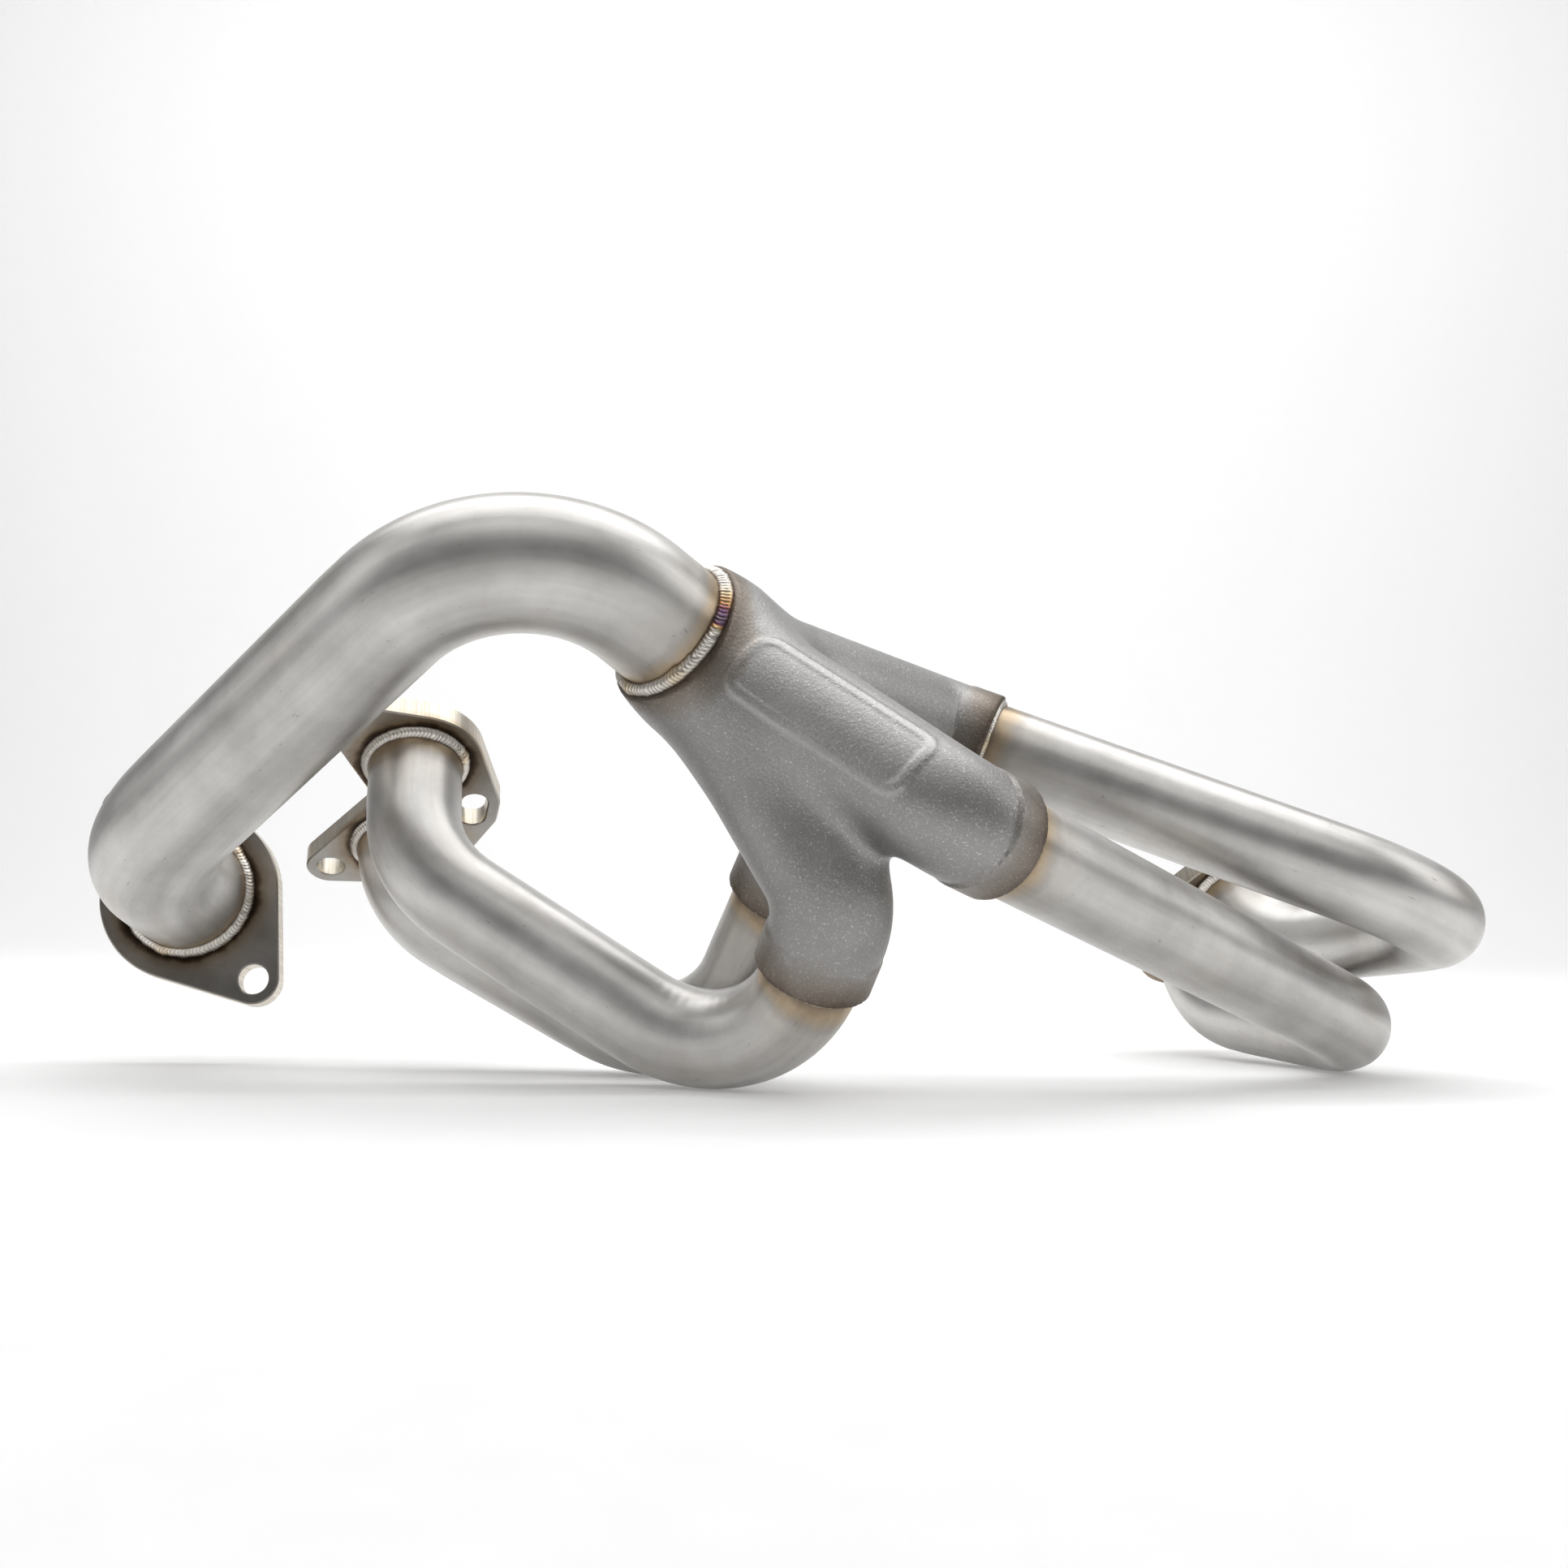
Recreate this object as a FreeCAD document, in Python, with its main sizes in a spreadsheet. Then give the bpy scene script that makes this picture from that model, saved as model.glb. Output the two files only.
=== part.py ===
"""Four-into-one exhaust manifold for a flat-four engine, in its natural resting pose.

Four bent primary tubes run from two twin-port head flanges into one cast merge
collector, and a larger tube leaves the collector and ends in a two-bolt outlet
flange.  Every joint is a bead of weld.  Millimetres, +Z up, the tubes stand on Z = 0.
"""
import FreeCAD, Part
import math
import os
import Sketcher
from FreeCAD import Placement, Rotation, Vector

doc = FreeCAD.newDocument("ExhaustManifold")

PARALLEL = 0.99  # cosine above which two directions count as parallel
PANEL_LOOK = Vector(0, -1, 0.25)  # the way the raised panel faces

# --------------------------------------------------------------------------- sizes
SIZES = [
    ("primary_rad", 19.05, "outer radius of a primary tube (1.5 in)"),
    ("primary_bore", 17.4, "inner radius of a primary tube"),
    ("primary_bend", 50.8, "centre-line bend radius of the primaries (2 in)"),
    ("outlet_rad", 25.4, "outer radius of the outlet tube (2 in)"),
    ("outlet_bore", 23.75, "inner radius of the outlet tube"),
    ("outlet_bend", 63.5, "centre-line bend radius of the outlet tube (2.5 in)"),
    ("plate", 9.5, "thickness of all three flanges"),
    ("tube_seat", 8.0, "how far a tube end enters its flange"),
    ("edge_break", 0.6, "chamfer round the rims of a flange"),
    # head flange outline, ports at (0, +-port_y)
    ("port_y", 26.8, "half the distance between the two ports"),
    ("port_land", 28.0, "plate radius round a port"),
    ("stud_x", 29.0, "outer studs, distance outboard"),
    ("stud_y", 46.6, "outer studs, distance from the middle"),
    ("stud_land", 10.5, "plate radius round an outer stud"),
    ("stud_hole", 5.75, "radius of an outer stud hole"),
    ("slot_x", 27.3, "middle stud slot, distance inboard"),
    ("slot_y", 4.3, "middle stud slot, half the distance between its end centres"),
    ("slot_rad", 5.6, "half width of the middle slot"),
    ("slot_land", 10.8, "plate radius round each end of the slot"),
    ("notch_x", 17.0, "centre of the inner corner of the outboard notch"),
    ("notch_rad", 3.0, "radius of that inner corner"),
    # outlet flange outline
    ("outlet_land", 38.8, "plate radius round the outlet port"),
    ("bolt_x", 31.3, "outlet bolt holes, distance across"),
    ("bolt_y", 38.1, "outlet bolt holes, distance along"),
    ("bolt_land", 11.0, "plate radius round an outlet bolt"),
    ("bolt_hole", 6.5, "radius of an outlet bolt hole"),
    # where the flanges are: middle of the tube-side face, then yaw, pitch and roll
    ("left_x", -157.7, ""), ("left_y", -15.6, ""), ("left_z", 111.8, ""),
    ("right_x", 219.8, ""), ("right_y", 119.8, ""), ("right_z", 67.0, ""),
    ("head_yaw", 15.7, "both head flanges lie in parallel planes"),
    ("head_pitch", 3.3, ""), ("head_roll", -37.0, ""),
    ("exit_x", -258.9, ""), ("exit_y", 10.1, ""), ("exit_z", 73.2, ""),
    ("exit_yaw", 1.7, ""), ("exit_pitch", -0.4, ""), ("exit_roll", -101.7, ""),
    # straight run from each flange face to the first bend corner
    ("front_left_stub", 55.8, ""), ("rear_left_stub", 30.0, ""),
    ("front_right_stub", 33.0, ""), ("rear_right_stub", 34.5, ""), ("exit_stub", 72.0, ""),
    # bend corners of the tubes
    ("front_left_low_x", -3.5, ""), ("front_left_low_y", -87.5, ""), ("front_left_low_z", -2.5, ""),
    ("rear_left_low_x", -29.3, ""), ("rear_left_low_y", -28.4, ""), ("rear_left_low_z", 1.0, ""),
    ("front_right_out_x", 250.0, ""), ("front_right_out_y", 3.8, ""), ("front_right_out_z", 23.4, ""),
    ("front_right_back_x", 255.9, ""), ("front_right_back_y", 43.2, ""), ("front_right_back_z", 18.2, ""),
    ("rear_right_out_x", 271.7, ""), ("rear_right_out_y", -59.7, ""), ("rear_right_out_z", 71.2, ""),
    ("rear_right_back_x", 286.9, ""), ("rear_right_back_y", 14.6, ""), ("rear_right_back_z", 65.1, ""),
    ("outlet_top_x", -94.8, ""), ("outlet_top_y", -162.6, ""), ("outlet_top_z", 211.8, ""),
    # mouths of the collector
    ("front_left_mouth_x", 13.9, ""), ("front_left_mouth_y", -116.5, ""), ("front_left_mouth_z", 46.0, ""),
    ("rear_left_mouth_x", 2.4, ""), ("rear_left_mouth_y", -72.2, ""), ("rear_left_mouth_z", 73.9, ""),
    ("front_right_mouth_x", 78.4, ""), ("front_right_mouth_y", -145.4, ""), ("front_right_mouth_z", 94.0, ""),
    ("rear_right_mouth_x", 87.9, ""), ("rear_right_mouth_y", -25.7, ""), ("rear_right_mouth_z", 138.8, ""),
    ("outlet_mouth_x", -39.5, ""), ("outlet_mouth_y", -109.4, ""), ("outlet_mouth_z", 172.5, ""),
    # collector casting
    ("collar_rad", 22.6, "outer radius of an inlet collar"),
    ("collar_len", 13.5, "length of an inlet collar"),
    ("socket_deep", 12.0, "how far a tube enters its collar"),
    ("branch_rad", 21.8, "outer radius of a branch beside its collar"),
    ("branch_root", 26.5, "outer radius of a branch at the outlet neck"),
    ("branch_bore", 17.4, "gas way of a branch"),
    ("branch_turn", 24.0, "bend radius of a branch behind its collar"),
    ("front_left_reach", 18.0, "from each collar back to the corner of that bend"),
    ("rear_left_reach", 22.0, ""), ("front_right_reach", 8.0, ""), ("rear_right_reach", 10.0, ""),
    ("way_root", 22.0, "gas way of a branch at the hub"),
    ("hub_rad", 28.6, "outer radius of the hub where the branches meet"),
    ("hub_bore", 24.0, "gas space in the hub"),
    ("neck_rad", 29.0, "outer radius of the outlet neck"),
    ("neck_len", 15.0, "length of the outlet neck"),
    ("panel_long", 84.0, "raised plain panel on the front right branch"),
    ("panel_wide", 29.0, ""), ("panel_deep", 60.0, "block that the panel is cut with"),
    ("panel_start", 31.0, "from the hub to the panel"), ("panel_corner", 8.0, ""),
    ("panel_proud", 0.8, ""),
    # weld beads
    ("bead_leg", 3.2, "leg of a fillet bead at a flange"),
    ("bead_crown", 2.9, "radius of that bead's rounded face"),
    ("seam_leg", 2.0, "leg of a bead at an inlet collar"),
    ("seam_crown", 1.9, "radius of that bead's rounded face"),
    ("rope_leg", 3.4, "leg of the bead at the outlet neck"),
    ("rope_crown", 3.0, "radius of that bead's rounded face"),
]
sheet = doc.addObject("Spreadsheet::Sheet", "Sizes")
for row, (alias, size, note) in enumerate(SIZES, start=1):
    sheet.set("A%d" % row, alias)
    sheet.set("B%d" % row, str(size))
    sheet.set("C%d" % row, note)
    sheet.setAlias("B%d" % row, alias)
doc.recompute()


def size(alias):
    """A driving dimension, read from the sheet."""
    return float(sheet.get(alias))


def place(name):
    """The point whose three coordinates are kept as name_x, name_y and name_z."""
    return Vector(size(name + "_x"), size(name + "_y"), size(name + "_z"))


def turned(name, base, spin=0.0):
    """Placement at base, turned by the yaw, pitch and roll kept under name, then spun."""
    turn = Rotation(size(name + "_yaw"), size(name + "_pitch"), size(name + "_roll"))
    return Placement(base, turn * Rotation(Vector(0, 0, 1), spin))


def along(start, finish):
    """Unit vector from start to finish."""
    return (finish - start).normalize()


def facing(base, direction):
    """Placement at base whose Z axis points along direction."""
    return Placement(base, Rotation(Vector(0, 0, 1), direction))


# --------------------------------------------------------------------------- swept tubes
def route(name, corners, bend):
    """Centre line through the corners, each one rounded to the bend radius."""
    edges = []
    here = corners[0]
    for before, corner, after in zip(corners, corners[1:], corners[2:]):
        come, leave = along(before, corner), along(corner, after)
        turn = come.getAngle(leave)
        reach = bend * math.tan(turn / 2)
        first, last = corner - come * reach, corner + leave * reach
        inward = (leave - come).normalize()
        middle = corner + inward * (bend / math.cos(turn / 2) - bend)
        edges.append(Part.makeLine(here, first))
        edges.append(Part.Arc(first, middle, last).toShape())
        here = last
    edges.append(Part.makeLine(here, corners[-1]))
    line = doc.addObject("Part::Feature", name)
    line.Shape = Part.Wire(edges)
    return line


def circle(name, base, direction, radius):
    """Round section, its radius bound to a cell."""
    ring = doc.addObject("Part::Circle", name)
    ring.Placement = facing(base, direction)
    ring.setExpression("Radius", "Sizes." + radius)
    return ring


def sweep(name, line, corners, radii):
    """Solid that follows the line; one radius, or a first and a last one."""
    ends = [(corners[0], along(corners[0], corners[1])), (corners[-1], along(corners[-2], corners[-1]))]
    rings = [circle("%s_ring%d" % (name, k), ends[k][0], ends[k][1], radius)
             for k, radius in enumerate(radii)]
    solid = doc.addObject("Part::Sweep", name)
    solid.Sections = rings
    solid.Spine = (line, ["Edge%d" % (k + 1) for k in range(len(line.Shape.Edges))])
    solid.Solid = True
    solid.Frenet = False
    return solid


def subtract(label, base, tool):
    """Part::Cut of tool from base; label names the piece."""
    cut = doc.addObject("Part::Cut", label)
    cut.Label = label
    cut.Base = base
    cut.Tool = tool
    return cut


def tube(label, corners, bend, outside, inside):
    """Bent round tube with a real wall."""
    line = route(label + "_line", corners, size(bend))
    skin = sweep(label + "_skin", line, corners, [outside])
    bore = sweep(label + "_bore", line, corners, [inside])
    return subtract(label, skin, bore)


# --------------------------------------------------------------------------- sketches
def plane_sketch(body, name, role, offset=0.0):
    """Sketch on one of the body's own origin planes."""
    sketch = body.newObject("Sketcher::SketchObject", name)
    plane = [item for item in body.Origin.OriginFeatures if item.Role == role][0]
    sketch.AttachmentSupport = [(plane, "")]
    sketch.MapMode = "FlatFace"
    sketch.AttachmentOffset = Placement(Vector(0, 0, offset), Rotation())
    return sketch


def pin_centre(sketch, curve, coordinate, axis, origin_line):
    """Hold a curve's centre at sign * cell along one axis, or on the other axis line."""
    sign, alias = coordinate
    if alias is None:
        sketch.addConstraint(Sketcher.Constraint("PointOnObject", curve, 3, origin_line))
        return
    number = sketch.addConstraint(Sketcher.Constraint(axis, -1, 1, curve, 3, sign * size(alias)))
    sketch.setExpression("Constraints[%d]" % number, "%d * Sizes.%s" % (sign, alias))


def pin_radius(sketch, curve, alias):
    number = sketch.addConstraint(Sketcher.Constraint("Radius", curve, size(alias)))
    sketch.setExpression("Constraints[%d]" % number, "Sizes." + alias)


def signed(coordinate):
    sign, alias = coordinate
    return 0.0 if alias is None else sign * size(alias)


def belt(sketch, rounds):
    """Closed outline of arcs joined by tangent lines, counter-clockwise.

    Each round is (x, y, radius alias, hollow): x and y are (sign, alias) pairs, and a
    hollow round bends the outline inward.
    """
    centres = [Vector(signed(x), signed(y), 0) for x, y, alias, hollow in rounds]
    reach = [-size(alias) if hollow else size(alias) for x, y, alias, hollow in rounds]
    count = len(rounds)
    normals = []
    for k in range(count):
        gap = centres[(k + 1) % count] - centres[k]
        heading = math.atan2(gap.y, gap.x)
        lean = math.acos((reach[k] - reach[(k + 1) % count]) / gap.Length)
        normals.append(heading - lean)

    def contact(k, normal):
        return centres[k] + Vector(math.cos(normal), math.sin(normal), 0) * reach[k]

    arcs = []
    for k, (x, y, alias, hollow) in enumerate(rounds):
        begin, finish = normals[k - 1], normals[k]
        if hollow:
            begin, finish = finish + math.pi, begin + math.pi
        while finish <= begin:
            finish += 2 * math.pi
        rim = Part.Circle(centres[k], Vector(0, 0, 1), size(alias))
        arcs.append(sketch.addGeometry(Part.ArcOfCircle(rim, begin, finish), False))
    for k in range(count):
        nxt = (k + 1) % count
        line = sketch.addGeometry(Part.LineSegment(contact(k, normals[k]), contact(nxt, normals[k])), False)
        leave = 1 if rounds[k][3] else 2
        arrive = 2 if rounds[nxt][3] else 1
        sketch.addConstraint(Sketcher.Constraint("Tangent", arcs[k], leave, line, 1))
        sketch.addConstraint(Sketcher.Constraint("Tangent", line, 2, arcs[nxt], arrive))
    for curve, (x, y, alias, hollow) in zip(arcs, rounds):
        pin_centre(sketch, curve, x, "DistanceX", -2)
        pin_centre(sketch, curve, y, "DistanceY", -1)
        pin_radius(sketch, curve, alias)


def holes(sketch, rounds):
    """Full circles, given as (x, y, radius alias)."""
    for x, y, alias in rounds:
        rim = Part.Circle(Vector(signed(x), signed(y), 0), Vector(0, 0, 1), size(alias))
        curve = sketch.addGeometry(rim, False)
        pin_centre(sketch, curve, x, "DistanceX", -2)
        pin_centre(sketch, curve, y, "DistanceY", -1)
        pin_radius(sketch, curve, alias)


# --------------------------------------------------------------------------- flanges
def flange(label, outline, openings, slot, where):
    """Flat plate: padded outline, drilled openings, optional slot, broken edges."""
    body = doc.addObject("PartDesign::Body", label)
    body.Label = label
    shape = plane_sketch(body, label + "_outline", "XY_Plane")
    belt(shape, outline)
    pad = body.newObject("PartDesign::Pad", label + "_plate")
    pad.Profile = shape
    pad.setExpression("Length", "Sizes.plate")
    shape.Visibility = False
    drill = plane_sketch(body, label + "_drilling", "XY_Plane")
    holes(drill, openings)
    pocket = body.newObject("PartDesign::Pocket", label + "_holes")
    pocket.Profile = drill
    pocket.Type = "ThroughAll"
    pocket.Reversed = True
    if slot:
        long_hole = plane_sketch(body, label + "_slotting", "XY_Plane")
        belt(long_hole, slot)
        cut = body.newObject("PartDesign::Pocket", label + "_slot")
        cut.Profile = long_hole
        cut.Type = "ThroughAll"
        cut.Reversed = True
    doc.recompute()
    last = body.Tip
    faces = [k + 1 for k, face in enumerate(last.Shape.Faces)
             if face.Surface.TypeId == "Part::GeomPlane" and abs(face.normalAt(0, 0).z) > PARALLEL]
    rims = body.newObject("PartDesign::Chamfer", label + "_edges")
    rims.Base = (last, ["Face%d" % k for k in faces])
    rims.setExpression("Size", "Sizes.edge_break")
    body.Placement = where
    return body


NO = (1, None)
PORTS = [(NO, (1, "port_y"), "primary_rad"), (NO, (-1, "port_y"), "primary_rad")]
STUDS = [((-1, "stud_x"), (1, "stud_y"), "stud_hole"), ((-1, "stud_x"), (-1, "stud_y"), "stud_hole")]
HEAD_OUTLINE = [
    ((1, "slot_x"), (-1, "slot_y"), "slot_land", False),
    ((1, "slot_x"), (1, "slot_y"), "slot_land", False),
    (NO, (1, "port_y"), "port_land", False),
    ((-1, "stud_x"), (1, "stud_y"), "stud_land", False),
    ((-1, "notch_x"), NO, "notch_rad", True),
    ((-1, "stud_x"), (-1, "stud_y"), "stud_land", False),
    (NO, (-1, "port_y"), "port_land", False),
]
HEAD_SLOT = [
    ((1, "slot_x"), (-1, "slot_y"), "slot_rad", False),
    ((1, "slot_x"), (1, "slot_y"), "slot_rad", False),
]
EXIT_OUTLINE = [
    (NO, NO, "outlet_land", False),
    ((1, "bolt_x"), (1, "bolt_y"), "bolt_land", False),
    (NO, NO, "outlet_land", False),
    ((-1, "bolt_x"), (-1, "bolt_y"), "bolt_land", False),
]
EXIT_HOLES = [
    (NO, NO, "outlet_rad"),
    ((1, "bolt_x"), (1, "bolt_y"), "bolt_hole"),
    ((-1, "bolt_x"), (-1, "bolt_y"), "bolt_hole"),
]
left_seat = turned("head", place("left"))
right_seat = turned("head", place("right"), 180.0)
exit_seat = turned("exit", place("exit"))
left_flange = flange("left_head_flange", HEAD_OUTLINE, PORTS + STUDS, HEAD_SLOT, left_seat)
right_flange = flange("right_head_flange", HEAD_OUTLINE, PORTS + STUDS, HEAD_SLOT, right_seat)
outlet_flange = flange("outlet_flange", EXIT_OUTLINE, EXIT_HOLES, None, exit_seat)

# --------------------------------------------------------------------------- tubes
LOWER, UPPER = -1, 1
head_up = left_seat.Rotation.multVec(Vector(0, 0, 1))
exit_out = exit_seat.Rotation.multVec(Vector(0, 0, 1))


def port(seat, side):
    """Centre of a head flange port on the tube-side face."""
    return seat.multVec(Vector(0, side * size("port_y"), 0))


def sunk(mouth, corner):
    """The end of a tube that stands in the collector mouth and leaves it towards corner."""
    return mouth - along(mouth, corner) * size("socket_deep")


def primary(side, flange_port, corner_names):
    """Corners of a primary: seat in the flange, stub, bend corners, seat in the collector."""
    corners = [flange_port + head_up * size("tube_seat"), flange_port - head_up * size(side + "_stub")]
    corners += [place(side + name) for name in corner_names]
    return corners + [sunk(place(side + "_mouth"), corners[-1])]


runs = {
    "front_left": primary("front_left", port(left_seat, LOWER), ["_low"]),
    "rear_left": primary("rear_left", port(left_seat, UPPER), ["_low"]),
    "front_right": primary("front_right", port(right_seat, LOWER), ["_back", "_out"]),
    "rear_right": primary("rear_right", port(right_seat, UPPER), ["_back", "_out"]),
}
tubes = [tube(side + "_primary", corners, "primary_bend", "primary_rad", "primary_bore")
         for side, corners in runs.items()]
outlet_mouth, outlet_top = place("outlet_mouth"), place("outlet_top")
exit_corners = [sunk(outlet_mouth, outlet_top), outlet_top, place("exit") - exit_out * size("exit_stub"),
                place("exit") + exit_out * size("tube_seat")]
tubes.append(tube("outlet_tube", exit_corners, "outlet_bend", "outlet_rad", "outlet_bore"))

# --------------------------------------------------------------------------- collector
neck_in = along(outlet_top, outlet_mouth)


def rod(name, base, direction, radius, length):
    """Cylinder bound to a radius cell and to a length cell, or a sum of them."""
    post = doc.addObject("Part::Cylinder", name)
    post.Placement = facing(base, direction)
    post.setExpression("Radius", "Sizes." + radius)
    post.setExpression("Height", "Sizes." + length)
    return post


def ball(name, centre, radius):
    """Sphere bound to a radius cell."""
    globe = doc.addObject("Part::Sphere", name)
    globe.Placement = Placement(centre, Rotation())
    globe.setExpression("Radius", "Sizes." + radius)
    return globe


hub = outlet_mouth + neck_in * size("neck_len")
skins = [rod("outlet_neck", outlet_mouth, neck_in, "neck_rad", "neck_len"), ball("hub", hub, "hub_rad")]
outside = outlet_mouth - neck_in * size("neck_len")
ways = [rod("outlet_socket", outside, neck_in, "outlet_rad", "neck_len + Sizes.socket_deep"),
        rod("outlet_way", outlet_mouth, neck_in, "outlet_bore", "neck_len"), ball("hub_way", hub, "hub_bore")]
for side, corners in runs.items():
    mouth = place(side + "_mouth")
    leaving = along(mouth, corners[-2])
    elbow = mouth - leaving * (size("collar_len") + size(side + "_reach"))
    spine = [hub, elbow, mouth - leaving]
    line = route(side + "_branch_line", spine, size("branch_turn"))
    skins.append(sweep(side + "_branch", line, spine, ["branch_root", "branch_rad"]))
    skins.append(rod(side + "_collar", mouth, leaving * -1, "collar_rad", "collar_len"))
    ways.append(sweep(side + "_way", line, spine, ["way_root", "branch_bore"]))
    ways.append(rod(side + "_socket", mouth, leaving * -1, "primary_rad", "socket_deep"))


def panel(spine):
    """Raised plain field on the side of a branch that faces forward and up."""
    start, elbow, mouth = spine
    axis = along(start, elbow)
    outward = (PANEL_LOOK - axis * PANEL_LOOK.dot(axis)).normalize()
    across = outward.cross(axis)
    block = doc.addObject("Part::Box", "panel_block")
    block.setExpression("Length", "Sizes.panel_long")
    block.setExpression("Width", "Sizes.panel_wide")
    block.setExpression("Height", "Sizes.panel_deep")
    corner = start + axis * size("panel_start") - across * (size("panel_wide") / 2)
    block.Placement = Placement(corner, Rotation(axis, across, outward, "ZXY"))
    doc.recompute()
    upright = [k + 1 for k, edge in enumerate(block.Shape.Edges)
               if abs(edge.tangentAt(edge.FirstParameter).dot(outward)) > PARALLEL]
    rounded = doc.addObject("Part::Fillet", "panel_outline")
    rounded.Base = block
    rounded.Edges = [(number, size("panel_corner"), size("panel_corner")) for number in upright]
    share = (elbow - start).Length / ((elbow - start).Length + (mouth - elbow).Length)
    taper = (size("branch_root") - size("branch_rad")) * share
    skin = doc.addObject("Part::Cone", "panel_skin")
    skin.Placement = facing(start, axis)
    skin.setExpression("Radius1", "Sizes.branch_root + Sizes.panel_proud")
    skin.Radius2 = size("branch_root") + size("panel_proud") - taper
    skin.Height = (elbow - start).Length
    field = doc.addObject("Part::Common", "panel")
    field.Base, field.Tool = rounded, skin
    return field


front_right_mouth = place("front_right_mouth")
front_right_out = along(front_right_mouth, runs["front_right"][-2])
front_right_reach = size("collar_len") + size("front_right_reach")
skins.append(panel([hub, front_right_mouth - front_right_out * front_right_reach, front_right_mouth]))
collector = skins[0]
for skin in skins[1:]:
    fused = doc.addObject("Part::Fuse", skin.Name + "_joined")
    fused.Base, fused.Tool = collector, skin
    collector = fused
for way in ways[:-1]:
    collector = subtract(way.Name + "_bored", collector, way)
collector = subtract("merge_collector", collector, ways[-1])

# --------------------------------------------------------------------------- weld beads


def bead(label, kind, radius, where):
    """Ring of fillet weld: a rounded triangle turned about the tube's axis."""
    body = doc.addObject("PartDesign::Body", label)
    body.Label = label
    profile = plane_sketch(body, label + "_profile", "XZ_Plane")
    inner, leg, crown = size(radius), size(kind + "_leg"), size(kind + "_crown")
    root, toe, top = Vector(inner, 0, 0), Vector(inner + leg, 0, 0), Vector(inner, leg, 0)
    half = leg / math.sqrt(2)
    drop = math.sqrt(crown * crown - half * half)
    centre = (toe + top) * 0.5 - Vector(1, 1, 0).normalize() * drop
    begin = math.atan2(toe.y - centre.y, toe.x - centre.x)
    finish = math.atan2(top.y - centre.y, top.x - centre.x)
    rim = Part.Circle(centre, Vector(0, 0, 1), crown)
    base = profile.addGeometry(Part.LineSegment(root, toe), False)
    face = profile.addGeometry(Part.ArcOfCircle(rim, begin, finish), False)
    back = profile.addGeometry(Part.LineSegment(top, root), False)
    for first, end, second, start in ((base, 2, face, 1), (face, 2, back, 1), (back, 2, base, 1)):
        profile.addConstraint(Sketcher.Constraint("Coincident", first, end, second, start))
    profile.addConstraint(Sketcher.Constraint("PointOnObject", base, 1, -1))
    profile.addConstraint(Sketcher.Constraint("Horizontal", base))
    profile.addConstraint(Sketcher.Constraint("Vertical", back))
    rules = [(Sketcher.Constraint("DistanceX", -1, 1, base, 1, inner), radius),
             (Sketcher.Constraint("Distance", base, leg), kind + "_leg"),
             (Sketcher.Constraint("Distance", back, leg), kind + "_leg"),
             (Sketcher.Constraint("Radius", face, crown), kind + "_crown")]
    for rule, alias in rules:
        number = profile.addConstraint(rule)
        profile.setExpression("Constraints[%d]" % number, "Sizes." + alias)
    ring = body.newObject("PartDesign::Revolution", label + "_ring")
    ring.Profile = profile
    ring.ReferenceAxis = (profile, ["V_Axis"])
    ring.Angle = 360.0
    body.Placement = where
    return body


beads = []
flange_ports = {"front_left": port(left_seat, LOWER), "rear_left": port(left_seat, UPPER),
                "front_right": port(right_seat, LOWER), "rear_right": port(right_seat, UPPER)}
for side, corners in runs.items():
    mouth = place(side + "_mouth")
    at_collar = facing(mouth, along(mouth, corners[-2]))
    beads.append(bead(side + "_port_weld", "bead", "primary_rad", facing(flange_ports[side], head_up * -1)))
    beads.append(bead(side + "_collector_weld", "seam", "primary_rad", at_collar))
at_neck = facing(outlet_mouth, along(outlet_mouth, outlet_top))
beads.append(bead("outlet_collector_weld", "rope", "outlet_rad", at_neck))
beads.append(bead("outlet_flange_weld", "bead", "outlet_rad", facing(place("exit"), exit_out * -1)))

# --------------------------------------------------------------------------- check and write
doc.recompute()
pieces = tubes + [collector, left_flange, right_flange, outlet_flange] + beads
for item in doc.Objects:
    if "Invalid" in item.State or "Error" in item.State:
        raise RuntimeError("%s: %s" % (item.Label, item.State))
for piece in pieces:
    if piece.Shape.isNull() or not piece.Shape.isValid() or len(piece.Shape.Solids) != 1:
        raise RuntimeError("%s has no single valid solid" % piece.Label)
os.makedirs("parts", exist_ok=True)
for piece in pieces:
    piece.Shape.exportStep("parts/%s.step" % piece.Label)
    box = piece.Shape.BoundBox
    print("%-28s %10.0f mm3  x %7.1f %7.1f  y %7.1f %7.1f  z %7.1f %7.1f" % (
        piece.Label, piece.Shape.Volume, box.XMin, box.XMax, box.YMin, box.YMax, box.ZMin, box.ZMax))
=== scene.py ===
"""Looks of a welded stainless exhaust manifold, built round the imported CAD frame.

The tubes, the collector casting and the weld beads are made again here with the detail
that the CAD solids leave out; the three flanges are the CAD's own.  Lengths are in
millimetres until a mesh is made, and in metres after that.
"""
import math

import bpy
import numpy as np
from mathutils import Matrix, Vector


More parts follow.
